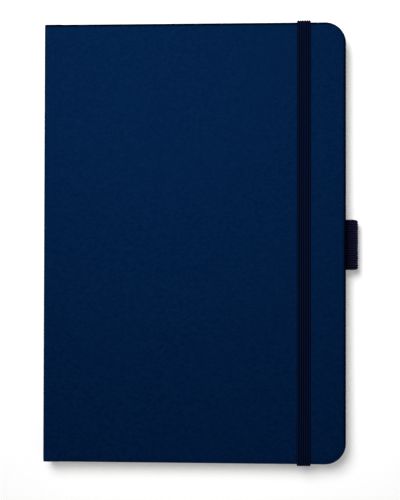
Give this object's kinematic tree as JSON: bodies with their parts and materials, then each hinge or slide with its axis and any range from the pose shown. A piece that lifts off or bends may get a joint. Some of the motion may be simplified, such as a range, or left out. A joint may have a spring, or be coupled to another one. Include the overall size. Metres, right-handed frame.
{
  "type": "pilot logbook",
  "caption": "Closed hard-cover flight logbook with square spine, rounded fore-edge corners, ribbed elastic closure band and elastic pen loop on the fore edge.",
  "frame": {"origin": "middle of the back cover's outer face, where the closed book rests", "axes": "+X from the spine to the fore edge, +Y to the head of the pages, +Z from the back cover to the front cover"},
  "size_m": [0.1508, 0.2118, 0.0161],
  "materials": {
    "leatherette": "matt grained navy leatherette",
    "elastic": "ribbed woven elastic",
    "board": "grey bookbinding board",
    "endpaper": "smooth ivory",
    "paper": "uncoated ivory",
    "thread": "waxed linen thread",
    "lining": "open-weave cloth with paper",
    "headband": "striped woven band"
  },
  "bodies": {
    "back_half": {"back_board": "board", "back_cover_skin": "leatherette", "back_joint_skin": "leatherette", "back_pastedown": "endpaper", "back_endpaper_hinge": "endpaper", "back_flyleaf": "endpaper", "signature_07": "paper", "signature_08": "paper", "signature_09": "paper", "signature_10": "paper", "signature_11": "paper", "signature_12": "paper", "back_sewing_thread": "thread", "spine_lining": "lining", "head_headband": "headband", "tail_headband": "headband", "elastic_head_tab": "elastic", "elastic_tail_tab": "elastic", "pen_loop_tab": "elastic"},
    "front_half": {"signature_01": "paper", "signature_02": "paper", "signature_03": "paper", "signature_04": "paper", "signature_05": "paper", "signature_06": "paper", "front_sewing_thread": "thread"},
    "front_cover": {"front_board": "board", "front_cover_skin": "leatherette", "front_joint_skin": "leatherette", "front_pastedown": "endpaper", "front_endpaper_hinge": "endpaper"},
    "front_flyleaf": {"front_flyleaf": "endpaper"},
    "spine": {"spine_card": "board", "spine_skin": "leatherette"},
    "elastic_ends": {"elastic_head_wrap": "elastic", "elastic_tail_wrap": "elastic"},
    "elastic_span": {"elastic_front_run": "elastic"},
    "pen_loop": {"pen_loop": "elastic"}
  },
  "joints": [
    {"name": "middle_fold", "type": "hinge", "parent": "back_half", "child": "front_half", "pos_m": [-0.07075, 0, 0.0076], "axis": [0, -1, 0], "range_deg": [0, 179.9], "deforming": ["spine_lining", "head_headband", "tail_headband", "back_joint_skin"]},
    {"name": "spine_swing", "type": "hinge", "parent": "back_half", "child": "spine", "pos_m": [-0.06775, 0, 0.0046], "axis": [0, -1, 0], "range_deg": [0, 90]},
    {"name": "cover_hinge", "type": "hinge", "parent": "front_half", "child": "front_cover", "pos_m": [-0.07005, 0, 0.01265], "axis": [0, 1, 0], "range_deg": [-179, 0], "deforming": ["front_joint_skin", "front_endpaper_hinge", "back_endpaper_hinge"]},
    {"name": "flyleaf_turn", "type": "hinge", "parent": "front_half", "child": "front_flyleaf", "pos_m": [-0.06975, 0, 0.01245], "axis": [0, 1, 0], "range_deg": [-15, 0]},
    {"name": "band_pull", "type": "slide", "parent": "back_half", "child": "elastic_ends", "axis": [1, 0, 0], "range_m": [0, 0.03], "stiffness_N_per_m": 70, "deforming": ["elastic_head_wrap", "elastic_tail_wrap"]},
    {"name": "band_lift", "type": "slide", "parent": "elastic_ends", "child": "elastic_span", "axis": [0, 0, 1], "range_m": [0, 0.03], "stiffness_N_per_m": 60, "deforming": ["elastic_front_run"]},
    {"name": "pen_loop_stretch", "type": "slide", "parent": "back_half", "child": "pen_loop", "axis": [1, 0, 0], "range_m": [0, 0.002], "stiffness_N_per_m": 500}
  ],
  "couplings": [
    {"joint": "spine_swing", "follows": "middle_fold", "ratio": 0.5},
    {"joint": "flyleaf_turn", "follows": "cover_hinge", "ratio": 0.08}
  ]
}
